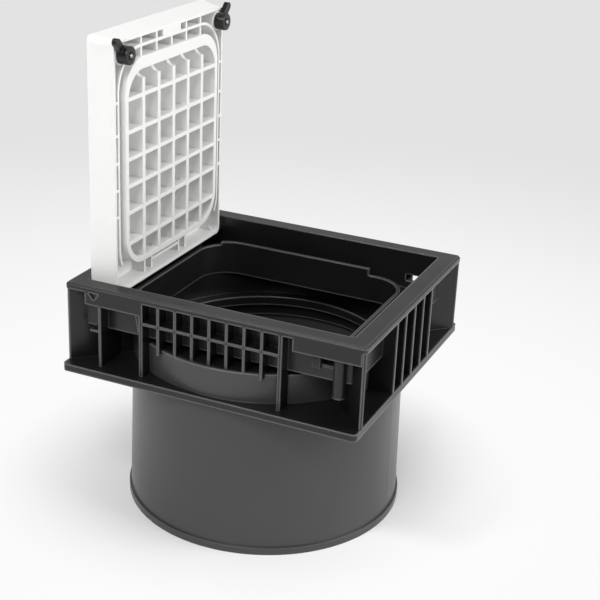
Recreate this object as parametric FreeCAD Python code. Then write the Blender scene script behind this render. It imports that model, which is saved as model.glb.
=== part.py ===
"""Earth inspection pit: a ribbed rectangular frame on a round skirt, with a hinged, lockable lid.

Units are millimetres, +Z is up and the origin is on the skirt's axis at the ground line of its
bottom edge. X runs along the long side of the frame, from the hinge end (-X) to the lock end (+X).
The lid is built lying shut and then swung upright about its trunnions, which is its rest place.
"""
import FreeCAD, Part
import math
import os

V = FreeCAD.Vector
UP = V(0, 0, 1)

# Round skirt
skirt_proud = 4.3             # past the rim's long sides, where it meets the collar
skirt_flare = 2.2             # growth of the radius down to the bottom edge
skirt_drop = 125.0            # flange underside to the ground
skirt_wall = 3.5
bead_height = 6.0
bead_proud = 1.4

# Frame
rim_length = 251.0
rim_width = 213.0
rim_corner_radius = 3.0
rim_edge_height = 5.0
rim_edge_bevel = 1.6
frame_height = 71.5           # rim top to flange underside
hinge_rim = 12.0              # rim land at the hinge end
lock_rim = 15.3               # rim land at the lock end
side_rim = 14.0               # rim land along the two long sides
well_corner_radius = 3.0
well_wall = 3.0
flange_thickness = 6.0
flange_inset = 1.1            # the flange stops short of the rim ends
flange_proud = 8.7            # and stands out past the rim sides
flange_corner_radius = 4.0
floor_ledge = 13.8            # flange left inside the drum's outside
drum_wall = 3.5
drum_drop = 41.5              # rim top to the drum's cap
drum_cap = 3.0
neck_wall = 3.0               # of the throat, from the drum's cap up to the gutter
collar_height = 2.0           # seat of the skirt under the flange
collar_proud = 0.8
spigot_length = 12.0
spigot_wall = 3.5
spigot_fit = 0.2              # round the spigot in the skirt

# Lid seat: a gutter with an upstand round the throat
gutter_drop = 33.0            # rim top to gutter floor
gutter_floor = 3.5
upstand_drop = 15.5           # rim top to the upstand's top
hinge_upstand_drop = 18.0     # lower there, so that the lid's hinge edge swings over it
lock_upstand_drop = 21.5      # and at the lock end, under the lid's ribs
upstand_wall = 3.0
hinge_upstand_reach = 24.0    # from the lid's hinge edge
hinge_gutter = 23.0           # well wall to throat at the hinge end
lock_gutter = 21.0            # well wall to throat at the lock end
side_gutter = 17.5            # well wall to throat along the sides
throat_radius = 27.0

# Stiffening webs of the frame
web_thickness = 3.0
thin_web = 2.2
long_web_offset = 58.5        # full-height webs on the long sides
grid_pitch = 14.5
grid_rail_drop = 20.0         # rim top to the grid's cross rail
end_web_offsets = (0.0, 20.0, 39.0)
apron_depth = 15.0            # outer skirt of the rim beside the grid
apron_wall = 3.0
apron_gap = 9.5               # from the full-height web at the lock end
apron_reach = 7.5             # past the trunnion axis at the hinge end
hinge_web_gap = 5.3           # from the trunnion axis
column_inset = 22.5           # round column, from the lock end
column_radius = 4.8
column_drop = 47.0
notch_width = 9.0             # vee notch in the apron over each trunnion
notch_depth = 5.5

# Lid
lid_thickness = 20.5          # outer face to the wall's edge
lid_hinge_gap = 8.5
lid_side_gap = 3.0
lid_lock_gap = 9.2
lid_taper = 3.7
lid_corner_radius = 5.0
lid_plate = 4.0
lid_wall = 2.2
hinge_edge_round = 6.0
ring_hinge_gap = 7.0          # ring rib inside the throat
ring_lock_gap = 8.6
ring_side_gap = 1.5
ring_rib = 4.5
ring_lock_rib = 9.2           # broader along the lock end
ring_corner_radius = 26.0
ring_proud = 2.0              # ring and cell ribs past the wall's edge
guard_gap = 0.8               # guard rib outside the upstand
guard_lock_inset = 11.3       # from the lid's free end
guard_rib = 2.2
guard_start = 26.0            # from the lid's hinge edge
seat_clearance = 0.6          # band ribs over the upstand
long_rib = 4.0                # ribs along the lid
cross_rib = 3.0               # ribs across the lid
band_rib = 2.2
long_rib_pitch = 23.3
cross_rib_offsets = (10.7, 32.0, 57.2)
cross_rib_shift = -5.0        # the cross ribs' middle from the throat's
scallop_radius = 7.0          # rib ends at the ring's lock side
grip_width = 28.0             # solid block in the free edge
hinge_rib_offsets = (22.5, 33.5)
hinge_rail_inset = 13.0       # lengthwise rib from the lid's hinge edge

# Hinge
pivot_inset = 4.75            # trunnion axis from the lid's hinge edge
pivot_drop = 12.0             # rim top to the trunnion axis
trunnion_radius = 4.0
trunnion_fit = 0.08
trunnion_end_gap = 0.5        # trunnion end inside the socket wall
trunnion_root = 6.0           # length of the boss inside the lid wall

# Locks
lock_inset_end = 14.0         # lock axis from the lid's free end
lock_inset_side = 13.5        # and from its long sides
boss_radius = 8.0
bolt_radius = 3.0
bolt_fit = 0.05
bolt_head_radius = 5.0
bolt_head_height = 5.0
bolt_head_gap = 0.4           # round the head in its counterbore
hex_key_width = 5.0
hex_key_depth = 3.0
bolt_tip = 1.0                # bolt end below the toggle
washer_thickness = 1.0
washer_radius = 6.5
toggle_radius = 7.0
toggle_height = 7.0
tail_reach = 18.5
tail_width = 6.0
tail_height = 4.0
nut_width = 10.0
nut_height = 4.0
tail_slot_gap = 0.8           # round the tail in the wall slot
lock_turn = 45.0              # from the corner diagonal to the wall slot

past = 1.0                    # run of one shape into or past another where they join or cut

# Levels and places that follow from the sizes above
half_length = rim_length / 2
half_width = rim_width / 2
flange_bottom = skirt_drop
flange_top = flange_bottom + flange_thickness
collar_bottom = flange_bottom - collar_height
rim_top = flange_bottom + frame_height
rim_under = rim_top - rim_edge_height
gutter_top = rim_top - gutter_drop
gutter_under = gutter_top - gutter_floor
upstand_top = rim_top - upstand_drop
drum_top = rim_top - drum_drop
skirt_radius = half_width + skirt_proud
spigot_radius = skirt_radius - skirt_wall - spigot_fit
well_hinge_x = -half_length + hinge_rim
well_lock_x = half_length - lock_rim
well_side = half_width - side_rim
throat_hinge_x = well_hinge_x + hinge_gutter
throat_lock_x = well_lock_x - lock_gutter
throat_side = well_side - side_gutter
lid_lock_x = well_lock_x - lid_lock_gap
lid_hinge_x = well_hinge_x + lid_hinge_gap
lid_side = well_side - lid_side_gap
lid_under = rim_top - lid_thickness
lid_plate_under = rim_top - lid_plate
ring_under = lid_under - ring_proud
ring_hinge_x = throat_hinge_x + ring_hinge_gap
ring_lock_x = throat_lock_x - ring_lock_gap
ring_side = throat_side - ring_side_gap
band_inset = lid_taper + lid_wall
guard_out = upstand_wall + guard_gap + guard_rib
guard_lock_x = lid_lock_x - guard_lock_inset
guard_turn_x = guard_lock_x - throat_radius - guard_out
pivot_x = lid_hinge_x + pivot_inset
pivot_z = rim_top - pivot_drop
lock_x = lid_lock_x - lock_inset_end
lock_y = lid_side - lock_inset_side
toggle_top = lid_under - washer_thickness
toggle_bottom = toggle_top - toggle_height


def slab(x0, x1, y0, y1, z0, z1):
    """Box between two corners."""
    return Part.makeBox(x1 - x0, y1 - y0, z1 - z0, V(x0, y0, z0))


def disc(radius, z0, z1, x=0.0, y=0.0):
    """Upright cylinder between two levels."""
    return Part.makeCylinder(radius, z1 - z0, V(x, y, z0), UP)


def rounded_wire(x0, x1, y0, y1, radius, z):
    """Rectangle with round corners at one level."""
    turn = math.sqrt(0.5) * radius
    corners = ((x1, y0, 1, -1), (x1, y1, 1, 1), (x0, y1, -1, 1), (x0, y0, -1, -1))
    ends = []
    for x, y, sx, sy in corners:
        centre = V(x - sx * radius, y - sy * radius, z)
        along_y = centre + V(sx * radius, 0, 0)
        along_x = centre + V(0, sy * radius, 0)
        middle = centre + V(sx * turn, sy * turn, 0)
        first, last = (along_x, along_y) if sx * sy < 0 else (along_y, along_x)
        ends.append((first, middle, last))
    edges = []
    for index, (first, middle, last) in enumerate(ends):
        edges.append(Part.Arc(first, middle, last).toShape())
        edges.append(Part.LineSegment(last, ends[(index + 1) % len(ends)][0]).toShape())
    return Part.Wire(edges)


def rounded_slab(x0, x1, y0, y1, radius, z0, z1):
    """Upright block with round corners."""
    face = Part.Face(rounded_wire(x0, x1, y0, y1, radius, z0))
    return face.extrude(V(0, 0, z1 - z0))


def hexagon(width, z0, z1, x, y):
    """Upright hexagonal prism of a given width across flats."""
    corner = width / math.sqrt(3)
    points = [
        V(x + corner * math.cos(k * math.pi / 3), y + corner * math.sin(k * math.pi / 3), z0)
        for k in range(7)
    ]
    return Part.Face(Part.makePolygon(points)).extrude(V(0, 0, z1 - z0))


def joined(shapes):
    """One solid from shapes that meet."""
    first, *others = shapes
    return first.fuse(others).removeSplitter()


def mirrored_y(shapes):
    """The shapes and their mirror images across the XZ plane."""
    return shapes + [shape.mirror(V(0, 0, 0), V(0, 1, 0)) for shape in shapes]


def mirrored_x(shapes):
    """The shapes and their mirror images across the YZ plane."""
    return shapes + [shape.mirror(V(0, 0, 0), V(1, 0, 0)) for shape in shapes]


def throat_block(grow, z0, z1):
    """Rounded block on the throat's outline, grown outward by an offset."""
    side = throat_side + grow
    return rounded_slab(
        throat_hinge_x - grow, throat_lock_x + grow, -side, side, throat_radius + grow, z0, z1
    )


def well_block(grow, z0, z1):
    """Rounded block on the well's inner outline, grown outward by an offset."""
    return rounded_slab(
        well_hinge_x - grow, well_lock_x + grow, -well_side - grow, well_side + grow,
        well_corner_radius + grow, z0, z1,
    )


def tail_slot(side):
    """Slot in a long wall of the well, where a turned toggle's tail goes in."""
    half = tail_width / 2
    first_touch = math.acos((well_side - lock_y - half) / tail_reach)
    x0 = lock_x - half - tail_slot_gap
    x1 = lock_x + tail_reach * math.sin(first_touch) + half + tail_slot_gap
    low = toggle_top - tail_height - tail_slot_gap
    high = toggle_top + tail_slot_gap
    slot = slab(x0, x1, well_side - past, well_side + well_wall + past, low, high)
    return slot if side > 0 else slot.mirror(V(0, 0, 0), V(0, 1, 0))


def rim():
    """Top band of the frame, with bevelled outer edges."""
    band = rounded_slab(
        -half_length, half_length, -half_width, half_width, rim_corner_radius, rim_under, rim_top
    )
    top_edges = [edge for edge in band.Edges if edge.BoundBox.ZMin > rim_under + rim_edge_height / 2]
    return band.makeChamfer(rim_edge_bevel, top_edges)


def long_side_webs():
    """Webs, pocket grid and aprons of one long side (-Y)."""
    outer = -half_width
    inner = -throat_side
    pieces = []
    for x in (-long_web_offset, long_web_offset):
        half = web_thickness / 2
        pieces.append(slab(x - half, x + half, outer, inner, flange_top - past, rim_under + past))
    ribs = int(long_web_offset / grid_pitch)
    for step in range(-ribs, ribs + 1):
        if abs(step) * grid_pitch < long_web_offset - web_thickness:
            x = step * grid_pitch
            half = thin_web / 2
            pieces.append(slab(x - half, x + half, outer, inner, drum_top - drum_cap, rim_under + past))
    rail = rim_top - grid_rail_drop
    pieces.append(slab(-long_web_offset, long_web_offset, outer, inner, rail - thin_web, rail))
    low = rim_top - apron_depth
    hinge_apron = (pivot_x - apron_reach, -long_web_offset)
    lock_apron = (long_web_offset + apron_gap, half_length - rim_corner_radius)
    for x0, x1 in (hinge_apron, lock_apron):
        pieces.append(slab(x0, x1, outer, outer + apron_wall, low, rim_under + past))
    half = thin_web / 2
    x = pivot_x + hinge_web_gap
    pieces.append(slab(x - half, x + half, outer, inner, flange_top - past, rim_under + past))
    column_x = half_length - column_inset
    column_y = -well_side - well_wall / 2 - column_radius
    pieces.append(disc(column_radius, rim_top - column_drop, rim_under + past, column_x, column_y))
    return pieces


def end_webs():
    """Thin webs of one short end (+X)."""
    pieces = []
    for offset in end_web_offsets:
        for y in {offset, -offset}:
            half = thin_web / 2
            inner = min(throat_lock_x, -throat_hinge_x)
            outer = half_length - flange_inset
            pieces.append(slab(inner, outer, y - half, y + half, flange_top - past, rim_under + past))
    return pieces


def corner_webs():
    """Diagonal webs from the frame's corners in to the throat's."""
    pieces = []
    centre_x = min(throat_lock_x, -throat_hinge_x) - throat_radius
    centre_y = throat_side - throat_radius
    reach = math.hypot(half_length - centre_x, half_width - centre_y) - throat_radius
    for sx in (-1, 1):
        for sy in (-1, 1):
            half = web_thickness / 2
            web = slab(-reach, 0, -half, half, flange_top - past, rim_under + past)
            angle = math.degrees(math.atan2(sy, sx))
            web.rotate(V(0, 0, 0), UP, angle)
            inset = rim_corner_radius / 2
            web.translate(V(sx * (half_length - inset), sy * (half_width - inset), 0))
            pieces.append(web)
    return pieces


def apron_notches():
    """Vee notches in the aprons over the trunnions."""
    top = rim_under
    half = notch_width / 2
    points = [
        V(pivot_x - half, 0, top), V(pivot_x + half, 0, top),
        V(pivot_x, 0, top - notch_depth), V(pivot_x - half, 0, top),
    ]
    wedge = Part.Face(Part.makePolygon(points)).extrude(V(0, apron_wall + 2 * past, 0))
    wedge.translate(V(0, -half_width - past, 0))
    return mirrored_y([wedge])


def build_frame():
    """Rectangular frame with its well, lid seat, drum, flange and webs as one moulding."""
    flange_end = half_length - flange_inset
    flange_side = half_width + flange_proud
    flange = rounded_slab(
        -flange_end, flange_end, -flange_side, flange_side, flange_corner_radius, flange_bottom, flange_top
    )
    drum = disc(skirt_radius, flange_bottom, drum_top)
    well = well_block(well_wall, gutter_under, rim_under + past)
    neck = throat_block(neck_wall, drum_top - drum_cap, gutter_under + past)
    webs = mirrored_y(long_side_webs()) + mirrored_x(end_webs()) + corner_webs()
    collar = disc(skirt_radius + collar_proud, collar_bottom, flange_top)
    spigot = disc(spigot_radius, collar_bottom - spigot_length, flange_top)
    body = joined([rim(), well, neck, drum, flange, collar, spigot] + webs)

    drum_room = disc(skirt_radius - drum_wall, flange_top, drum_top - drum_cap)
    upper_room = well_block(0, gutter_top, rim_top + past)
    floor_hole = disc(skirt_radius - floor_ledge, collar_bottom - past, flange_top + past)
    spigot_bore = disc(spigot_radius - spigot_wall, collar_bottom - spigot_length - past, collar_bottom)
    throat = throat_block(0, drum_top - drum_cap - past, gutter_top + past)
    body = body.cut([drum_room, upper_room, floor_hole, spigot_bore, throat])

    upstand = throat_block(upstand_wall, gutter_under, upstand_top)
    upstand = upstand.cut(throat_block(0, gutter_under - past, upstand_top + past))
    hinge_clear = slab(
        well_hinge_x, lid_hinge_x + hinge_upstand_reach, -half_width, half_width,
        rim_top - hinge_upstand_drop, rim_top,
    )
    lock_clear = slab(
        guard_turn_x - past, well_lock_x, -half_width, half_width, rim_top - lock_upstand_drop, rim_top
    )
    body = body.fuse(upstand.cut([hinge_clear, lock_clear]))
    socket_reach = well_side + well_wall + past
    sockets = Part.makeCylinder(
        trunnion_radius + trunnion_fit, 2 * socket_reach, V(pivot_x, -socket_reach, pivot_z), V(0, 1, 0)
    )
    cuts = [sockets, tail_slot(-1), tail_slot(1)] + apron_notches()
    return body.cut(cuts).removeSplitter()


def build_skirt():
    """Round skirt: a tapered tube with a bead at its foot, turned about the axis."""
    foot = skirt_radius + skirt_flare
    bead = foot + bead_proud
    bore = skirt_radius - skirt_wall
    over_bead = foot - skirt_flare * bead_height / collar_bottom
    points = [
        V(bore, 0, 0), V(bead, 0, 0), V(bead, 0, bead_height), V(over_bead, 0, bead_height),
        V(skirt_radius, 0, collar_bottom), V(bore, 0, collar_bottom),
    ]
    profile = Part.Face(Part.makePolygon(points + points[:1]))
    return profile.revolve(V(0, 0, 0), UP, 360)


def lid_shell():
    """Tapered block of the lid, with its hinge edge rounded to clear the rim."""
    block = Part.makeWedge(
        lid_hinge_x + lid_taper, lid_under, lid_taper - lid_side, -lid_side, lid_hinge_x,
        lid_lock_x - lid_taper, rim_top, lid_side - lid_taper, lid_side, lid_lock_x,
    )
    block.rotate(V(0, 0, 0), V(1, 0, 0), 90)
    corners = [edge for edge in block.Edges if edge.BoundBox.ZLength > lid_thickness / 2]
    block = block.makeFillet(lid_corner_radius, corners)
    centre_x = lid_hinge_x + hinge_edge_round
    centre_z = rim_top - hinge_edge_round
    reach = lid_side + past
    corner = slab(lid_hinge_x - past, centre_x, -reach, reach, centre_z, rim_top + past)
    round_bar = Part.makeCylinder(
        hinge_edge_round, 2 * (reach + past), V(centre_x, -reach - past, centre_z), V(0, 1, 0)
    )
    return block.cut(corner.cut(round_bar))


def ring_block(grow, lock_grow, z0, z1):
    """Rounded block on the ring rib's outer outline, grown outward, by another amount at the lock end."""
    side = ring_side + grow
    return rounded_slab(
        ring_hinge_x - grow, ring_lock_x + lock_grow, -side, side, ring_corner_radius + grow, z0, z1
    )


def band_room(under):
    """Space inside the lid's wall from a level up into the plate."""
    side = lid_side - band_inset
    return rounded_slab(
        lid_hinge_x + band_inset, lid_lock_x - band_inset, -side, side, lid_corner_radius,
        under, lid_plate_under + past,
    )


def long_rib_places():
    """Y of the lengthwise ribs, evenly about the middle."""
    count = int((ring_side - ring_rib) / long_rib_pitch)
    return [step * long_rib_pitch for step in range(-count, count + 1)]


def cross_rib_places():
    """X of the cross ribs, in pairs about their own middle."""
    middle = (throat_hinge_x + throat_lock_x) / 2 + cross_rib_shift
    return [middle + sign * offset for offset in cross_rib_offsets for sign in (-1, 1)]


def rib_grid(along, across, under):
    """Crossed ribs of two thicknesses over the whole lid, from a level up into the plate."""
    top = lid_plate_under + past
    ribs = [
        slab(lid_hinge_x, lid_lock_x, y - along / 2, y + along / 2, under, top) for y in long_rib_places()
    ]
    for x in cross_rib_places():
        ribs.append(slab(x - across / 2, x + across / 2, -lid_side, lid_side, under, top))
    return ribs[0].fuse(ribs[1:])


def cell_ribs():
    """Ribs inside the ring, with scalloped ends along its lock side."""
    room = ring_block(-ring_rib / 2, -ring_lock_rib / 2, ring_under, lid_plate_under + past)
    scallop = Part.makeCylinder(
        scallop_radius, 2 * lid_side, V(ring_lock_x - ring_lock_rib, -lid_side, ring_under), V(0, 1, 0)
    )
    return room.common(rib_grid(long_rib, cross_rib, ring_under)).cut(scallop)


def guard_block(grow, lock_grow, z0, z1):
    """Rounded block on the guard rib's outer outline, grown outward, by another amount at the lock end."""
    out = guard_out + grow
    return rounded_slab(
        throat_hinge_x - out, guard_lock_x + lock_grow, -throat_side - out, throat_side + out,
        throat_radius + out, z0, z1,
    )


def lid_zone(x0, x1):
    """Part of the lid's underside between two places along it, over its whole width."""
    return slab(x0, x1, -lid_side, lid_side, lid_under - past, rim_top)


def band_ribs():
    """Guard rib, and the ribs between ring and wall: low where the upstand stands high."""
    low = upstand_top + seat_clearance
    top = lid_plate_under + past
    ring_inside = ring_block(-ring_rib / 2, -ring_lock_rib / 2, lid_under - past, rim_top)
    guard_inside = guard_block(-guard_rib, -guard_rib, lid_under - past, rim_top)
    guard_middle = guard_block(-guard_rib / 2, -guard_rib / 2, lid_under - past, rim_top)
    hinge_zone = lid_zone(lid_hinge_x, ring_hinge_x + ring_corner_radius)
    low_grid = band_room(low).common(rib_grid(band_rib, band_rib, low)).cut([ring_inside, hinge_zone])
    full = band_room(lid_under).common(rib_grid(band_rib, band_rib, lid_under))
    outer_grid = full.cut([guard_middle, hinge_zone])
    lock_grid = full.cut(ring_inside).common(lid_zone(guard_turn_x, lid_lock_x))
    guard = guard_block(0, 0, lid_under, top).cut(guard_inside).common(band_room(lid_under))
    guard = guard.cut(lid_zone(lid_hinge_x, lid_hinge_x + guard_start))
    grip = slab(
        guard_lock_x - guard_rib / 2, lid_lock_x - band_inset + lid_wall / 2,
        -grip_width / 2, grip_width / 2, lid_under, top,
    )
    pieces = [low_grid, outer_grid, lock_grid, guard, grip]
    half = band_rib / 2
    wall_x = lid_hinge_x + band_inset - lid_wall / 2
    ring_x = ring_hinge_x + ring_rib / 2
    for offset in hinge_rib_offsets:
        for y in (-offset, offset):
            pieces.append(slab(wall_x, ring_x, y - half, y + half, low, top))
    rail = lid_hinge_x + hinge_rail_inset
    reach = hinge_rib_offsets[0]
    pieces.append(slab(rail - half, rail + half, -reach, reach, low, top))
    return pieces


def build_lid():
    """Lid lying shut: plate, tapered wall, ring rib, cells, guard rib, band ribs, bosses and trunnions."""
    room = band_room(lid_under - past).common(
        slab(lid_hinge_x, lid_lock_x, -lid_side, lid_side, lid_under - past, lid_plate_under)
    )
    ring = ring_block(0, 0, ring_under, lid_plate_under + past)
    ring = ring.cut(ring_block(-ring_rib, -ring_lock_rib, ring_under - past, lid_plate_under))
    bosses = [
        disc(boss_radius, lid_under, lid_plate_under + past, lock_x, side * lock_y) for side in (-1, 1)
    ]
    pins = []
    for side in (-1, 1):
        start = lid_side - lid_taper - trunnion_root
        end = well_side + well_wall - trunnion_end_gap
        pins.append(Part.makeCylinder(
            trunnion_radius, end - start, V(pivot_x, side * start, pivot_z), V(0, side, 0)
        ))
    body = joined([lid_shell().cut(room), ring, cell_ribs()] + band_ribs() + bosses + pins)

    holes = []
    for side in (-1, 1):
        y = side * lock_y
        seat = rim_top - bolt_head_height - bolt_head_gap
        holes.append(disc(bolt_radius + bolt_fit, lid_under - past, rim_top + past, lock_x, y))
        holes.append(disc(bolt_head_radius + bolt_head_gap, seat, rim_top + past, lock_x, y))
    return body.cut(holes)


def build_bolt(side):
    """Lock bolt with a hexagon socket in its head, sunk in the lid's outer face."""
    y = side * lock_y
    head_top = rim_top - bolt_head_gap
    head = disc(bolt_head_radius, head_top - bolt_head_height, head_top, lock_x, y)
    shank = disc(bolt_radius, toggle_bottom - bolt_tip, head_top - hex_key_depth, lock_x, y)
    socket = hexagon(hex_key_width, head_top - hex_key_depth, head_top + past, lock_x, y)
    return head.fuse(shank).removeSplitter().cut(socket)


def build_washer(side):
    """Flat washer between the lid boss and the toggle."""
    y = side * lock_y
    ring = disc(washer_radius, toggle_top, lid_under, lock_x, y)
    return ring.cut(disc(bolt_radius + bolt_fit, toggle_top - past, lid_under + past, lock_x, y))


def build_toggle(side):
    """Round toggle with a tail that turns into the slot of the well's wall."""
    y = side * lock_y
    knob = disc(toggle_radius, toggle_bottom, toggle_top, lock_x, y)
    half = tail_width / 2
    tail_under = toggle_top - tail_height
    tail = slab(0, tail_reach - half, -half, half, tail_under, toggle_top)
    tail = tail.fuse(disc(half, tail_under, toggle_top, tail_reach - half, 0))
    tail.rotate(V(0, 0, 0), UP, (90 - lock_turn) * side)
    tail.translate(V(lock_x, y, 0))
    body = knob.fuse(tail).removeSplitter()
    bore = disc(bolt_radius, toggle_bottom - past, toggle_top + past, lock_x, y)
    seat = hexagon(nut_width, toggle_bottom - past, toggle_bottom + nut_height, lock_x, y)
    return body.cut([bore, seat])


def build_nut(side):
    """Hexagon nut sunk in the toggle's end."""
    y = side * lock_y
    nut = hexagon(nut_width, toggle_bottom, toggle_bottom + nut_height, lock_x, y)
    return nut.cut(disc(bolt_radius, toggle_bottom - past, toggle_bottom + nut_height + past, lock_x, y))


def swung_open(shape):
    """The shape carried with the lid from shut to upright."""
    moved = shape.copy()
    moved.rotate(V(pivot_x, 0, pivot_z), V(0, 1, 0), -90)
    return moved


def build_parts():
    """Every piece at its rest place, by name."""
    parts = {"frame": build_frame(), "skirt": build_skirt(), "lid": swung_open(build_lid())}
    for name, side in (("front", -1), ("back", 1)):
        parts[f"lock_bolt_{name}"] = swung_open(build_bolt(side))
        parts[f"lock_washer_{name}"] = swung_open(build_washer(side))
        parts[f"lock_toggle_{name}"] = swung_open(build_toggle(side))
        parts[f"lock_nut_{name}"] = swung_open(build_nut(side))
    return parts


os.makedirs("parts", exist_ok=True)
for part_name, shape in build_parts().items():
    print(part_name, shape.isValid(), len(shape.Solids), round(shape.Volume / 1000, 2), "cm3")
    shape.exportStep(f"parts/{part_name}.step")
print("lid hinge axis", round(pivot_x, 3), round(pivot_z, 3))
print("lock axis at rest, y and z", round(lock_y, 3), round(pivot_z + lock_x - pivot_x, 3))
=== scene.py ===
"""Looks of the earth inspection pit: finishes, small moulded details, studio and camera round the solids.

Everything is in metres, in the frame of the solids: +Z up, origin on the skirt's axis at the ground, +X
from the hinge end to the lock end. Sizes that end in _mm are in millimetres.
"""

import logging
import math
from dataclasses import dataclass, field, replace
from enum import Enum
from itertools import product
from typing import Any

import bmesh
import bpy
from mathutils import Matrix, Vector


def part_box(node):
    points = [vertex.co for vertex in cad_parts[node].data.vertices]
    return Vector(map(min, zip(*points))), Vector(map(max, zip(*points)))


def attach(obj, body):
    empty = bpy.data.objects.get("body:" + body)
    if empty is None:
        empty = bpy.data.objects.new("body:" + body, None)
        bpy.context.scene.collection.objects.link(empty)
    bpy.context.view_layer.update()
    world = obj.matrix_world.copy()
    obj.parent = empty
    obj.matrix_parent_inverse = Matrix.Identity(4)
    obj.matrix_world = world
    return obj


LOG = logging.getLogger("inspection_pit")
MM = 0.001
# Place of the mixed colour among a mix node's outputs.
MIXED = 2
# Samples of the nodes that round edges and that look for them.
ROUND_SAMPLES = 6
EDGE_SAMPLES = 12
# Share of open depth at which an outer edge starts to turn paler, and at which it is palest: partly wear,
# partly a painted highlight.
EDGE_PAINT_START = 0.98
EDGE_PAINT_FULL = 0.78
# Values of a noise between which most of a surface lies.
NOISE_LOW = 0.3
NOISE_HIGH = 0.7
# Facets round a small edge, and the angle from which an edge is drawn sharp.
ROUND_STEPS = 3
SHARP_ANGLE = math.radians(35.0)

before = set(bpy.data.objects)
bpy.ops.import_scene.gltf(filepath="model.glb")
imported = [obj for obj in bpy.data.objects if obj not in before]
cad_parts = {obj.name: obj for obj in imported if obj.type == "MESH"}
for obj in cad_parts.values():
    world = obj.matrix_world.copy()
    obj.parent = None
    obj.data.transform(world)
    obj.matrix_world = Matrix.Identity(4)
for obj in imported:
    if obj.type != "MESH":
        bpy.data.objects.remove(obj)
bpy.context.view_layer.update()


class Grain(Enum):
    """How a mould's surface was made, which sets the plastic's fine relief."""

    SPARK_ERODED = "spark eroded"
    POLISHED = "polished"
    DRAWN = "drawn along the axis"

    @property
    def relief(self) -> float:
        """Strength of the relief."""
        return 0.25 if self is Grain.POLISHED else 0.6

    @property
    def stretch(self) -> tuple[float, float, float]:
        """Texture scale along X, Y and Z, low where the marks run long."""
        return (1.0, 1.0, 0.05) if self is Grain.DRAWN else (1.0, 1.0, 1.0)


class Side(Enum):
    """The two long sides of the pit."""

    FRONT = "front"
    BACK = "back"

    @property
    def sign(self) -> float:
        """Sign of Y on this side."""
        return -1.0 if self is Side.FRONT else 1.0


def linear(hex_colour: str) -> tuple[float, float, float, float]:
    """Turn an sRGB hex colour into linear light.

    Args:
        hex_colour: Six hex digits with a leading hash.

    Returns:
        Linear red, green, blue and an alpha of one.
    """
    channels = [int(hex_colour[i:i + 2], 16) / 255 for i in (1, 3, 5)]
    light = [c / 12.92 if c <= 0.04045 else ((c + 0.055) / 1.055) ** 2.4 for c in channels]
    return light[0], light[1], light[2], 1.0


def per_metre(size_mm: float) -> float:
    """Texture scale whose features measure size_mm."""
    return 1000.0 / size_mm


def add_node(tree: bpy.types.NodeTree, kind: str, settings: dict[str, Any] | None = None,
             **inputs: Any) -> bpy.types.Node:
    """Add a node with its settings, values and links.

    Args:
        tree: Node tree that gets the node.
        kind: Blender's type name of the node.
        settings: Attributes of the node itself.
        **inputs: Values or sockets by input name, with underscores for spaces, or in_N for input N.

    Returns:
        The new node.
    """
    node = tree.nodes.new(kind)
    for name, value in (settings or {}).items():
        setattr(node, name, value)
    for name, value in inputs.items():
        is_number = name.startswith("in_")
        socket = node.inputs[int(name[3:])] if is_number else node.inputs[name.replace("_", " ")]
        if isinstance(value, bpy.types.NodeSocket):
            tree.links.new(value, socket)
        else:
            socket.default_value = value
    return node


def empty_material(name: str) -> bpy.types.Material:
    """Start a node material with no nodes.

    Args:
        name: Name of the finish.

    Returns:
        The material.
    """
    material = bpy.data.materials.new(name)
    material.use_nodes = True
    material.node_tree.nodes.clear()
    return material


@dataclass(frozen=True)
class TubeBand:
    """A round band of a moulding that shows another body colour."""

    colour: str
    inner_mm: float
    outer_mm: float
    low_mm: float
    high_mm: float

    def mask(self, tree: bpy.types.NodeTree, place: bpy.types.NodeSocket) -> bpy.types.NodeSocket:
        """Mark the band by its radius and height about the skirt's axis.

        Args:
            tree: Node tree of the material.
            place: Object coordinates.

        Returns:
            A socket that is one on the band and zero elsewhere.
        """
        level = add_node(tree, "ShaderNodeMapping", Vector=place, Scale=(1.0, 1.0, 0.0)).outputs["Vector"]
        radius = add_node(tree, "ShaderNodeVectorMath", {"operation": "LENGTH"},
                          in_0=level).outputs["Value"]
        height = add_node(tree, "ShaderNodeSeparateXYZ", Vector=place).outputs["Z"]
        spans = ((radius, self.inner_mm, self.outer_mm), (height, self.low_mm, self.high_mm))
        inside = []
        for value, low, high in spans:
            middle, half = (low + high) / 2 * MM, (high - low) / 2 * MM
            inside.append(add_node(tree, "ShaderNodeMath", {"operation": "COMPARE"}, in_0=value,
                                   in_1=middle, in_2=half).outputs["Value"])
        return add_node(tree, "ShaderNodeMath", {"operation": "MULTIPLY"}, in_0=inside[0],
                        in_1=inside[1]).outputs["Value"]


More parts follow.
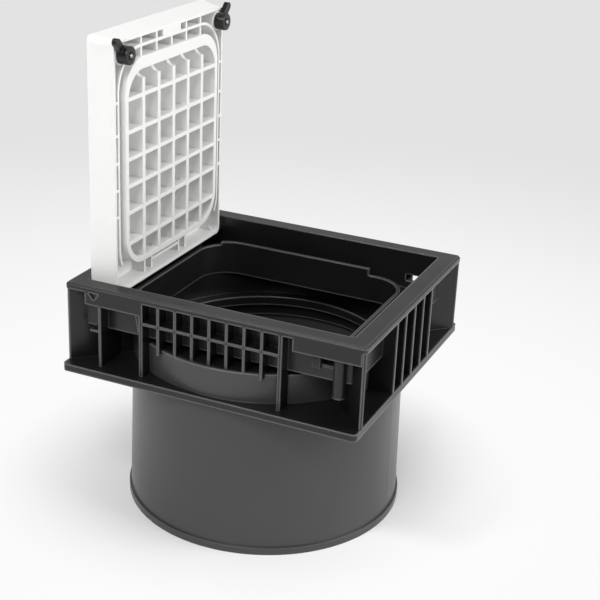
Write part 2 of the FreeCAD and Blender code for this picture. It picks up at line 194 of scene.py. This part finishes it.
@dataclass(frozen=True)
class MouldedPlastic:
    """A moulded plastic: body colour, sheen, fine relief and outer edges painted paler, partly as wear and
    partly as a painted highlight.
    """

    name: str
    colour: str
    cloud_colour: str
    # Paler colour of the outer edges: partly wear, partly a painted highlight.
    edge_wear_highlight_colour: str
    roughness: float
    roughness_spread: float
    grain: Grain
    grain_mm: float
    grain_depth_mm: float
    cloud_mm: float
    edge_mm: float
    edge_wear_and_highlight: float = 0.5
    ior: float = 1.49
    band: TubeBand | None = None

    def tint(self, tree: bpy.types.NodeTree, place: bpy.types.NodeSocket,
             clouds: bpy.types.NodeSocket) -> bpy.types.NodeSocket:
        """Mix the body colour, its band and its paler outer edges, partly wear and partly a painted
        highlight.

        The paler edge is found from inside the plastic: only near an outer edge is another face close by,
        so inner corners stay dark.

        Args:
            tree: Node tree of the material.
            place: Object coordinates.
            clouds: Noise that shifts the body colour.

        Returns:
            The colour.
        """
        body = add_node(tree, "ShaderNodeMix", {"data_type": "RGBA"}, Factor=clouds,
                        in_6=linear(self.colour), in_7=linear(self.cloud_colour)).outputs[MIXED]
        if self.band:
            banded = self.band.mask(tree, place)
            body = add_node(tree, "ShaderNodeMix", {"data_type": "RGBA"}, Factor=banded, in_6=body,
                            in_7=linear(self.band.colour)).outputs[MIXED]
        # Outer edges turn paler: partly wear, partly a painted highlight in place of the light on rounded
        # edges.
        inward = {"samples": EDGE_SAMPLES, "inside": True, "only_local": True}
        depth = add_node(tree, "ShaderNodeAmbientOcclusion", inward,
                         Distance=self.edge_mm * MM).outputs["AO"]
        worn_and_highlit = add_node(tree, "ShaderNodeMapRange", Value=depth, From_Min=EDGE_PAINT_START, From_Max=EDGE_PAINT_FULL,
                        To_Min=0.0, To_Max=self.edge_wear_and_highlight).outputs["Result"]
        return add_node(tree, "ShaderNodeMix", {"data_type": "RGBA"}, Factor=worn_and_highlit, in_6=body,
                        in_7=linear(self.edge_wear_highlight_colour)).outputs[MIXED]

    def material(self) -> bpy.types.Material:
        """Build the material.

        Returns:
            A node material with a principled shader.
        """
        material = empty_material(self.name)
        tree = material.node_tree
        place = add_node(tree, "ShaderNodeTexCoord").outputs["Object"]
        drawn = add_node(tree, "ShaderNodeMapping", Vector=place,
                         Scale=self.grain.stretch).outputs["Vector"]
        clouds = add_node(tree, "ShaderNodeTexNoise", Vector=place, Scale=per_metre(self.cloud_mm),
                          Detail=3.0, Roughness=0.55).outputs["Fac"]
        fine = add_node(tree, "ShaderNodeTexNoise", Vector=drawn, Scale=per_metre(self.grain_mm),
                        Detail=2.0, Roughness=0.5).outputs["Fac"]
        rounded = add_node(tree, "ShaderNodeBevel", {"samples": ROUND_SAMPLES},
                           Radius=self.edge_mm * MM).outputs["Normal"]
        sheen = add_node(tree, "ShaderNodeMapRange", Value=clouds, From_Min=NOISE_LOW, From_Max=NOISE_HIGH,
                         To_Min=self.roughness - self.roughness_spread,
                         To_Max=self.roughness + self.roughness_spread).outputs["Result"]
        relief = add_node(tree, "ShaderNodeBump", Strength=self.grain.relief,
                          Distance=self.grain_depth_mm * MM, Height=fine, Normal=rounded).outputs["Normal"]
        shader = add_node(tree, "ShaderNodeBsdfPrincipled", Base_Color=self.tint(tree, place, clouds),
                          Roughness=sheen, IOR=self.ior, Normal=relief).outputs["BSDF"]
        add_node(tree, "ShaderNodeOutputMaterial", Surface=shader)
        return material


@dataclass(frozen=True)
class TurnedSteel:
    """Steel with the fine rings that turning leaves under its finish."""

    name: str
    colour: str
    dull_colour: str
    roughness: float
    ring_mm: float
    ring_depth_mm: float
    edge_mm: float
    cloud_mm: float = 3.0
    brighter: float = 0.06
    duller: float = 0.08
    ring_waver: float = 0.4
    ring_relief: float = 0.4

    def material(self, axis_y: float, axis_z: float) -> bpy.types.Material:
        """Build the material about one bolt's axis.

        Args:
            axis_y: Y of the axis, which runs along X, in metres.
            axis_z: Z of the axis, in metres.

        Returns:
            A node material with a principled shader.
        """
        material = empty_material(self.name)
        tree = material.node_tree
        place = add_node(tree, "ShaderNodeTexCoord").outputs["Object"]
        centred = add_node(tree, "ShaderNodeMapping", Vector=place,
                           Location=(0.0, -axis_y, -axis_z)).outputs["Vector"]
        rings = add_node(tree, "ShaderNodeTexWave", {"wave_type": "RINGS", "rings_direction": "X"},
                         Vector=centred, Scale=per_metre(self.ring_mm) / (2 * math.pi),
                         Distortion=self.ring_waver).outputs["Fac"]
        bloom = add_node(tree, "ShaderNodeTexNoise", Vector=place, Scale=per_metre(self.cloud_mm),
                         Detail=4.0).outputs["Fac"]
        tint = add_node(tree, "ShaderNodeMix", {"data_type": "RGBA"}, Factor=bloom,
                        in_6=linear(self.colour), in_7=linear(self.dull_colour)).outputs[MIXED]
        sheen = add_node(tree, "ShaderNodeMapRange", Value=bloom, From_Min=NOISE_LOW, From_Max=NOISE_HIGH,
                         To_Min=self.roughness - self.brighter,
                         To_Max=self.roughness + self.duller).outputs["Result"]
        edge = add_node(tree, "ShaderNodeBevel", {"samples": ROUND_SAMPLES},
                        Radius=self.edge_mm * MM).outputs["Normal"]
        relief = add_node(tree, "ShaderNodeBump", Strength=self.ring_relief,
                          Distance=self.ring_depth_mm * MM, Height=rings, Normal=edge).outputs["Normal"]
        shader = add_node(tree, "ShaderNodeBsdfPrincipled", Base_Color=tint, Metallic=1.0,
                          Roughness=sheen, Normal=relief).outputs["BSDF"]
        add_node(tree, "ShaderNodeOutputMaterial", Surface=shader)
        return material


# Carbon-black polypropylene from a spark-eroded mould: nearly black where it faces the eye, a grey sheen on
# level faces and a thin pale line painted on each outer edge, partly wear and partly a painted highlight.
# Its grit of 0.1 mm is drawn at 1.1 mm, to show at all. The round drum between the webs shows the dark grey
# of the skirt.
FRAME_PLASTIC = MouldedPlastic(
    name="black_polypropylene_moulded", colour="#131314", cloud_colour="#19191A", edge_wear_highlight_colour="#88888A",
    roughness=0.34, roughness_spread=0.05, grain=Grain.SPARK_ERODED, grain_mm=1.1, grain_depth_mm=0.03,
    cloud_mm=38.0, edge_mm=1.4, edge_wear_and_highlight=0.38,
    band=TubeBand(colour="#3E3E3F", inner_mm=107.8, outer_mm=111.0, low_mm=131.2, high_mm=155.3),
)
# The same plastic where its wall is thin: the pale line of wear and painted highlight is narrower than the
# wall.
HOOD_PLASTIC = replace(FRAME_PLASTIC, name="black_polypropylene_moulded_thin", edge_mm=0.7)
# Dark grey polypropylene tube: a smoother satin that turns pale towards its two sides. The drawing marks of
# 0.2 mm are drawn at 1.6 mm, to show at all.
SKIRT_PLASTIC = MouldedPlastic(
    name="dark_grey_polypropylene_tube", colour="#373738", cloud_colour="#3E3E3F", edge_wear_highlight_colour="#5A5A5C",
    roughness=0.32, roughness_spread=0.02, grain=Grain.DRAWN, grain_mm=1.6, grain_depth_mm=0.02,
    cloud_mm=55.0, edge_mm=0.9,
)
# White polypropylene with a titanium pigment: bright and even, with a soft satin on the ribs. Its grit of
# 0.1 mm is drawn at 1 mm, to show at all.
LID_PLASTIC = MouldedPlastic(
    name="white_polypropylene_moulded", colour="#F1F1EF", cloud_colour="#EBEBE9", edge_wear_highlight_colour="#F7F7F5",
    roughness=0.46, roughness_spread=0.05, grain=Grain.SPARK_ERODED, grain_mm=1.0, grain_depth_mm=0.02,
    cloud_mm=30.0, edge_mm=0.6,
)
# Black glass-filled nylon from a polished mould: darker and glossier than the frame.
TOGGLE_PLASTIC = MouldedPlastic(
    name="black_nylon_moulded", colour="#070707", cloud_colour="#0C0C0C", edge_wear_highlight_colour="#262626",
    roughness=0.3, roughness_spread=0.05, grain=Grain.POLISHED, grain_mm=0.7, grain_depth_mm=0.02,
    cloud_mm=9.0, edge_mm=0.8, ior=1.53,
)
# Dark nylon washer, stamped from sheet: a dull ring.
WASHER_PLASTIC = MouldedPlastic(
    name="dark_nylon_stamped", colour="#1B1B1B", cloud_colour="#222222", edge_wear_highlight_colour="#303030",
    roughness=0.5, roughness_spread=0.05, grain=Grain.POLISHED, grain_mm=0.5, grain_depth_mm=0.01,
    cloud_mm=6.0, edge_mm=0.2, ior=1.53,
)
# Turned steel blacked with oxide: dark, with dull streaks of light round the axis.
BLACK_STEEL = TurnedSteel(
    name="black_oxide_steel_turned", colour="#2A2A2C", dull_colour="#1C1C1E", roughness=0.36,
    ring_mm=0.35, ring_depth_mm=0.02, edge_mm=0.25,
)
# Turned steel left bright at the bolt's point: one small clear highlight.
BRIGHT_STEEL = TurnedSteel(
    name="bright_steel_turned", colour="#C9CBCD", dull_colour="#AEB0B2", roughness=0.26,
    ring_mm=0.35, ring_depth_mm=0.01, edge_mm=0.15,
)


def dress(node: str, material: bpy.types.Material) -> None:
    """Give a solid its finish.

    Args:
        node: Name of the solid.
        material: Finish for its whole surface.
    """
    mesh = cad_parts[node].data
    mesh.materials.clear()
    mesh.materials.append(material)
    LOG.info("%s takes %s", node, material.name)


def add_piece(name: str, shape: bmesh.types.BMesh, body: str,
              material: bpy.types.Material) -> None:
    """Make a shape into a piece that rides on a body.

    Args:
        name: Name of the piece.
        shape: Its finished shape, which is used up.
        body: Body that carries it.
        material: Finish of the whole piece.
    """
    bmesh.ops.recalc_face_normals(shape, faces=shape.faces)
    mesh = bpy.data.meshes.new(name)
    shape.to_mesh(mesh)
    shape.free()
    mesh.shade_smooth()
    mesh.set_sharp_from_angle(angle=SHARP_ANGLE)
    mesh.materials.append(material)
    piece = bpy.data.objects.new(name, mesh)
    bpy.context.scene.collection.objects.link(piece)
    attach(piece, body)
    LOG.info("%s built on %s with %d faces", name, body, len(mesh.polygons))


def moulded_block(low_mm: Vector, high_mm: Vector, round_mm: float,
                  foot_share: float = 1.0) -> bmesh.types.BMesh:
    """Make a block with rounded edges, narrower along X at its foot.

    Args:
        low_mm: Lowest corner.
        high_mm: Highest corner.
        round_mm: Radius of the edges.
        foot_share: Width of the foot over the width of the top, kept to the high X side.

    Returns:
        The block, in metres.
    """
    shape = bmesh.new()
    bmesh.ops.create_cube(shape, size=1.0)
    size = high_mm - low_mm
    for vert in shape.verts:
        share = vert.co + Vector((0.5, 0.5, 0.5))
        width = size.x if share.z > 0.5 else size.x * foot_share
        x = high_mm.x - (1.0 - share.x) * width
        vert.co = Vector((x, low_mm.y + share.y * size.y, low_mm.z + share.z * size.z)) * MM
    bmesh.ops.bevel(shape, geom=shape.edges[:], offset=round_mm * MM, segments=ROUND_STEPS, profile=0.5,
                    affect="EDGES")
    return shape


def turned_ring(profile_mm: list[tuple[float, float]], axis_y: float, axis_z: float, steps: int,
                closed: bool) -> bmesh.types.BMesh:
    """Turn a profile about an axis along X.

    Args:
        profile_mm: Pairs of X and radius, in order.
        axis_y: Y of the axis, in metres.
        axis_z: Z of the axis, in metres.
        steps: Number of steps round the axis.
        closed: Whether the profile closes on itself; if not, both ends are capped.

    Returns:
        The turned shape, in metres.
    """
    shape = bmesh.new()
    rings = []
    for along, radius in profile_mm:
        ring = []
        for step in range(steps):
            angle = 2 * math.pi * step / steps
            y = axis_y + radius * MM * math.cos(angle)
            z = axis_z + radius * MM * math.sin(angle)
            ring.append(shape.verts.new((along * MM, y, z)))
        rings.append(ring)
    pairs = list(zip(rings, rings[1:]))
    if closed:
        pairs.append((rings[-1], rings[0]))
    else:
        shape.faces.new(rings[0])
        shape.faces.new(rings[-1])
    for first, second in pairs:
        for step in range(steps):
            other = (step + 1) % steps
            shape.faces.new((first[step], first[other], second[other], second[step]))
    return shape


@dataclass
class Pit:
    """The buried part: ribbed frame and round skirt, with the frame's small stiffeners."""

    frame_finish: MouldedPlastic = FRAME_PLASTIC
    hood_finish: MouldedPlastic = HOOD_PLASTIC
    skirt_finish: MouldedPlastic = SKIRT_PLASTIC
    wall_face_mm: float = 95.5
    front_face_mm: float = 106.5
    root_mm: float = 0.4
    edge_round_mm: float = 0.5
    gusset_x_mm: tuple[float, float] = (-104.0, -95.6)
    gusset_z_mm: tuple[float, float] = (159.2, 161.2)
    step_x_mm: tuple[float, float] = (-63.6, -59.6)
    step_z_mm: tuple[float, float] = (167.6, 181.9)
    step_foot_share: float = 0.45
    hood_x_mm: tuple[float, float] = (80.6, 87.4)
    hood_z_mm: tuple[float, float] = (168.4, 177.6)
    hood_depth_mm: float = 3.4
    hood_wall_mm: float = 1.2

    def across(self, side: Side, inner_mm: float, outer_mm: float) -> tuple[float, float]:
        """Lowest and highest Y of a span on one side.

        Args:
            side: Long side of the frame.
            inner_mm: Distance of its inner end from the middle.
            outer_mm: Distance of its outer end from the middle.

        Returns:
            The two values in order.
        """
        first, last = sorted((side.sign * inner_mm, side.sign * outer_mm))
        return first, last

    def build_stiffener(self, side: Side, x_mm: tuple[float, float], z_mm: tuple[float, float],
                        foot_share: float = 1.0) -> bmesh.types.BMesh:
        """Make a rib that stands between the well's wall and the frame's outer face.

        Args:
            side: Long side of the frame.
            x_mm: Its two ends along the frame.
            z_mm: Its foot and its top.
            foot_share: Width of its foot over the width of its top.

        Returns:
            The rib.
        """
        y = self.across(side, self.wall_face_mm - self.root_mm, self.front_face_mm - self.root_mm)
        low, high = Vector((x_mm[0], y[0], z_mm[0])), Vector((x_mm[1], y[1], z_mm[1]))
        return moulded_block(low, high, self.edge_round_mm, foot_share)

    def build_hood(self, side: Side) -> bmesh.types.BMesh:
        """Make the hollow hood behind part of a lock slot, open towards the wall.

        Args:
            side: Long side of the frame.

        Returns:
            The hood.
        """
        y = self.across(side, self.wall_face_mm - self.root_mm, self.wall_face_mm + self.hood_depth_mm)
        low = Vector((self.hood_x_mm[0], y[0], self.hood_z_mm[0]))
        high = Vector((self.hood_x_mm[1], y[1], self.hood_z_mm[1]))
        shape = moulded_block(low, high, self.edge_round_mm)
        open_y = (self.wall_face_mm - self.root_mm / 2) * MM
        mouth = [face for face in shape.faces if abs(face.calc_center_median().y) < open_y]
        bmesh.ops.delete(shape, geom=mouth, context="FACES")
        bmesh.ops.recalc_face_normals(shape, faces=shape.faces)
        bmesh.ops.solidify(shape, geom=shape.faces[:], thickness=self.hood_wall_mm * MM)
        return shape

    def build(self) -> None:
        """Finish the frame and the skirt, and add the stiffeners and hoods on both sides."""
        black = self.frame_finish.material()
        thin_black = self.hood_finish.material()
        dress("frame", black)
        dress("skirt", self.skirt_finish.material())
        for side in Side:
            gusset = self.build_stiffener(side, self.gusset_x_mm, self.gusset_z_mm)
            step = self.build_stiffener(side, self.step_x_mm, self.step_z_mm, self.step_foot_share)
            add_piece(f"hinge_gusset_{side.value}", gusset, "pit", black)
            add_piece(f"web_step_{side.value}", step, "pit", black)
            add_piece(f"slot_hood_{side.value}", self.build_hood(side), "pit", thin_black)


@dataclass
class Lid:
    """The hinged lid with its washers and the round pads on its ribs."""

    finish: MouldedPlastic = LID_PLASTIC
    washer_finish: MouldedPlastic = WASHER_PLASTIC
    rib_face_mm: float = -89.75
    pad_radius_mm: float = 3.4
    pad_depth_mm: float = 6.0
    pad_proud_mm: float = 0.25
    pad_steps: int = 32
    pad_rows_mm: tuple[float, ...] = (311.1, 247.1)
    pad_columns_mm: tuple[float, ...] = (0.0, 23.3)
    # Depth below the face and inset from the radius, along the rounded edge and into the dimple.
    pad_outline_mm: tuple[tuple[float, float], ...] = (
        (0.3, 0.0), (0.1, 0.1), (0.0, 0.35), (0.0, 0.9), (0.15, 1.2),
    )
    dimple_depth_mm: float = 0.15
    dimple_middle_mm: float = 0.3

    def build_pad(self, y_mm: float, z_mm: float) -> bmesh.types.BMesh:
        """Make one pad that a mould's ejector pin pressed on, with a shallow dimple.

        Args:
            y_mm: Y of its middle.
            z_mm: Z of its middle.

        Returns:
            The pad.
        """
        face = self.rib_face_mm + self.pad_proud_mm
        radius = self.pad_radius_mm
        profile = [(face - self.pad_depth_mm, radius)]
        profile += [(face - depth, radius - inset) for depth, inset in self.pad_outline_mm]
        profile.append((face - self.dimple_depth_mm, self.dimple_middle_mm))
        return turned_ring(profile, y_mm * MM, z_mm * MM, self.pad_steps, closed=False)

    def build(self) -> None:
        """Finish the lid and the washers, and add the pads."""
        white = self.finish.material()
        dress("lid", white)
        dull = self.washer_finish.material()
        for side in Side:
            dress(f"lock_washer_{side.value}", dull)
        places = product(self.pad_rows_mm, self.pad_columns_mm)
        for number, (z_mm, y_mm) in enumerate(places, start=1):
            add_piece(f"rib_pad_{number}", self.build_pad(y_mm, z_mm), "lid", white)


@dataclass
class Lock:
    """One corner lock: toggle, bolt and nut, with the toggle's end cap and the bolt's point."""

    side: Side
    toggle_finish: MouldedPlastic = TOGGLE_PLASTIC
    steel: TurnedSteel = BLACK_STEEL
    point_steel: TurnedSteel = BRIGHT_STEEL
    cap_radius_mm: float = 6.9
    cap_hole_mm: float = 3.1
    cap_thickness_mm: float = 0.85
    cap_round_mm: float = 0.5
    cap_round_steps: int = 4
    cap_sink_mm: float = 0.05
    cap_chamfer_mm: float = 0.3
    point_radius_mm: float = 1.7
    point_height_mm: float = 0.7
    point_sink_mm: float = 0.1
    point_land_mm: float = 0.15
    point_taper_mm: float = 0.2
    point_round_mm: float = 0.45
    centre_mark_mm: tuple[float, float] = (0.5, 0.15)
    centre_depth_mm: float = 0.2
    steps: int = 64

    def build_cap(self, end_mm: float, axis_y: float, axis_z: float) -> bmesh.types.BMesh:
        """Make the cap that hides the nut round the bolt's end.

        Args:
            end_mm: X of the toggle's end.
            axis_y: Y of the bolt's axis, in metres.
            axis_z: Z of the bolt's axis, in metres.

        Returns:
            The cap.
        """
        top = end_mm + self.cap_thickness_mm
        foot = end_mm - self.cap_sink_mm
        outer, hole, curve = self.cap_radius_mm, self.cap_hole_mm, self.cap_round_mm
        profile = [(foot, hole), (foot, outer), (top - curve, outer)]
        for step in range(1, self.cap_round_steps + 1):
            angle = math.pi / 2 * step / self.cap_round_steps
            profile.append((top - curve + curve * math.sin(angle), outer - curve + curve * math.cos(angle)))
        profile += [(top, hole + self.cap_chamfer_mm), (top - self.cap_chamfer_mm, hole)]
        return turned_ring(profile, axis_y, axis_z, self.steps, closed=True)

    def build_point(self, tip_mm: float, axis_y: float, axis_z: float) -> bmesh.types.BMesh:
        """Make the short tapered point on the bolt's end.

        Args:
            tip_mm: X of the bolt's end.
            axis_y: Y of the bolt's axis, in metres.
            axis_z: Z of the bolt's axis, in metres.

        Returns:
            The point.
        """
        top, radius = tip_mm + self.point_height_mm, self.point_radius_mm
        mark, mark_floor = self.centre_mark_mm
        profile = [
            (tip_mm - self.point_sink_mm, radius), (tip_mm + self.point_land_mm, radius),
            (top - self.point_land_mm, radius - self.point_taper_mm), (top, radius - self.point_round_mm),
            (top, mark), (top - self.centre_depth_mm, mark_floor),
        ]
        return turned_ring(profile, axis_y, axis_z, self.steps, closed=False)

    def build(self) -> None:
        """Finish the toggle, the bolt and the nut, and add the cap and the point."""
        name = self.side.value
        low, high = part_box(f"lock_bolt_{name}")
        middle = (low + high) / 2
        toggle_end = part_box(f"lock_toggle_{name}")[1].x
        nylon = self.toggle_finish.material()
        steel = self.steel.material(middle.y, middle.z)
        dress(f"lock_toggle_{name}", nylon)
        dress(f"lock_bolt_{name}", steel)
        dress(f"lock_nut_{name}", steel)
        cap = self.build_cap(toggle_end / MM, middle.y, middle.z)
        point = self.build_point(high.x / MM, middle.y, middle.z)
        add_piece(f"toggle_cap_{name}", cap, f"lock_{name}", nylon)
        bright = self.point_steel.material(middle.y, middle.z)
        add_piece(f"bolt_point_{name}", point, f"lock_{name}", bright)


@dataclass(frozen=True)
class Softbox:
    """A square studio lamp."""

    name: str
    place: tuple[float, float, float]
    aim: tuple[float, float, float]
    width: float
    watts: float

    def build(self) -> None:
        """Add the lamp to the scene."""
        data = bpy.data.lights.new(self.name, "AREA")
        data.shape = "SQUARE"
        data.size = self.width
        data.energy = self.watts
        lamp = bpy.data.objects.new(self.name, data)
        lamp.location = self.place
        way = Vector(self.aim) - Vector(self.place)
        lamp.rotation_euler = way.to_track_quat("-Z", "Y").to_euler()
        bpy.context.scene.collection.objects.link(lamp)


@dataclass
class Studio:
    """Pale floor, soft lamps and the camera."""

    floor_half: float = 12.0
    floor_cells: int = 8
    floor_colour: str = "#FAFAFA"
    floor_roughness: float = 0.7
    # Backdrop colour near the object and far off, and the distances from the axis between which it changes:
    # the grey far off is painted shade, where the light falls off.
    near_colour: str = "#FBFBFB"
    far_shade_colour: str = "#E3E3E3"
    near_reach: float = 0.24
    far_reach: float = 1.15
    # Distances between which the lit floor with its shadow gives way to the backdrop colour.
    veil_start: float = 0.12
    veil_end: float = 0.25
    sky_colour: str = "#F0F0F0"
    sky_front: float = 0.08
    sky_back: float = 0.66
    sky_span: tuple[float, float] = (-0.7, 0.4)
    # A broad key in front, a small lamp that draws the rounded edges and a broad one at the lock end.
    boxes: list[Softbox] = field(default_factory=lambda: [
        Softbox("key_box", (0.15, -1.75, 1.87), (0.0, 0.0, 0.25), 1.0, 28.0),
        Softbox("edge_box", (-0.8, -1.55, 2.0), (0.0, 0.0, 0.25), 0.35, 14.5),
        Softbox("side_box", (2.2, 0.25, 1.3), (0.0, 0.0, 0.25), 1.6, 39.0),
    ])
    # Camera: angles in degrees, its place about a point on the axis in metres, focal length in pixels.
    azimuth: float = 23.3931
    elevation: float = 22.8261
    roll: float = 2.5204
    distance: float = 1.07682
    across: float = 0.0231655
    upward: float = -0.0258451
    target_height: float = 0.1965
    focal_px: float = 1339.641
    frame_px: float = 600.0
    sensor_mm: float = 36.0

    def build_floor(self) -> None:
        """Lay the floor, white near the object and pale grey far off, the grey being painted shade of light
        falling off.
        """
        mesh = bpy.data.meshes.new("studio_floor")
        bm = bmesh.new()
        bmesh.ops.create_grid(bm, x_segments=self.floor_cells, y_segments=self.floor_cells,
                              size=self.floor_half)
        bm.to_mesh(mesh)
        bm.free()
        floor = bpy.data.objects.new("studio_floor", mesh)
        bpy.context.scene.collection.objects.link(floor)
        material = empty_material("matt_paper_floor")
        tree = material.node_tree
        place = add_node(tree, "ShaderNodeTexCoord").outputs["Object"]
        reach = add_node(tree, "ShaderNodeVectorMath", {"operation": "LENGTH"}, in_0=place).outputs["Value"]
        # Painted shade: the backdrop greys with distance from the object, as the light falls off.
        far = add_node(tree, "ShaderNodeMapRange", {"interpolation_type": "SMOOTHSTEP"}, Value=reach,
                       From_Min=self.near_reach, From_Max=self.far_reach).outputs["Result"]
        tint = add_node(tree, "ShaderNodeMix", {"data_type": "RGBA"}, Factor=far,
                        in_6=linear(self.near_colour), in_7=linear(self.far_shade_colour)).outputs[MIXED]
        paper = add_node(tree, "ShaderNodeBsdfPrincipled", Base_Color=linear(self.floor_colour),
                         Roughness=self.floor_roughness).outputs["BSDF"]
        backdrop = add_node(tree, "ShaderNodeEmission", Color=tint, Strength=1.0).outputs["Emission"]
        rays = add_node(tree, "ShaderNodeLightPath").outputs
        seen = add_node(tree, "ShaderNodeMath", {"operation": "ADD"}, in_0=rays["Is Camera Ray"],
                        in_1=rays["Is Glossy Ray"]).outputs["Value"]
        seen = add_node(tree, "ShaderNodeMath", {"operation": "ADD", "use_clamp": True}, in_0=seen,
                        in_1=rays["Is Transmission Ray"]).outputs["Value"]
        veil = add_node(tree, "ShaderNodeMapRange", {"interpolation_type": "SMOOTHSTEP"}, Value=reach,
                        From_Min=self.veil_start, From_Max=self.veil_end).outputs["Result"]
        share = add_node(tree, "ShaderNodeMath", {"operation": "MULTIPLY"}, in_0=seen,
                         in_1=veil).outputs["Value"]
        shader = add_node(tree, "ShaderNodeMixShader", in_0=share, in_1=paper,
                          in_2=backdrop).outputs["Shader"]
        add_node(tree, "ShaderNodeOutputMaterial", Surface=shader)
        mesh.materials.append(material)
        LOG.info("floor laid")

    def build_light(self) -> None:
        """Light the object with the soft boxes and a sky that is pale behind and dim in front."""
        world = bpy.data.worlds.new("studio_sky")
        bpy.context.scene.world = world
        world.use_nodes = True
        tree = world.node_tree
        tree.nodes.clear()
        way = add_node(tree, "ShaderNodeTexCoord").outputs["Generated"]
        depth = add_node(tree, "ShaderNodeSeparateXYZ", Vector=way).outputs["Y"]
        level = add_node(tree, "ShaderNodeMapRange", {"interpolation_type": "SMOOTHSTEP"}, Value=depth,
                         From_Min=self.sky_span[0], From_Max=self.sky_span[1], To_Min=self.sky_front,
                         To_Max=self.sky_back)
        sky = add_node(tree, "ShaderNodeBackground", Color=linear(self.sky_colour),
                       Strength=level.outputs["Result"])
        add_node(tree, "ShaderNodeOutputWorld", Surface=sky.outputs["Background"])
        for box in self.boxes:
            box.build()
        LOG.info("%d soft boxes set", len(self.boxes))

    def build_camera(self) -> None:
        """Stand the camera where the photograph was taken from."""
        turn, rise, roll = (math.radians(a) for a in (self.azimuth, self.elevation, self.roll))
        back = Vector((math.sin(turn) * math.cos(rise), -math.cos(turn) * math.cos(rise), math.sin(rise)))
        right = Vector((0, 0, 1)).cross(back).normalized()
        up = back.cross(right)
        tilted_right = right * math.cos(roll) + up * math.sin(roll)
        tilted_up = up * math.cos(roll) - right * math.sin(roll)
        eye = tilted_right * self.across + tilted_up * self.upward + back * self.distance
        eye.z += self.target_height
        data = bpy.data.cameras.new("photo_camera")
        data.sensor_width = self.sensor_mm
        data.lens = self.focal_px * self.sensor_mm / self.frame_px
        camera = bpy.data.objects.new("photo_camera", data)
        bpy.context.scene.collection.objects.link(camera)
        turned = Matrix((tilted_right, tilted_up, back)).transposed().to_4x4()
        camera.matrix_world = Matrix.Translation(eye) @ turned
        bpy.context.scene.camera = camera
        LOG.info("camera set")

    def build(self) -> None:
        """Set up the whole studio."""
        bpy.context.scene.view_settings.view_transform = "Standard"
        self.build_floor()
        self.build_light()
        self.build_camera()


def main() -> None:
    """Dress the object piece by piece and set up the studio."""
    logging.basicConfig(level=logging.INFO, format="%(name)s: %(message)s")
    Pit().build()
    Lid().build()
    for side in Side:
        Lock(side).build()
    Studio().build()


if __name__ == "__main__":
    main()
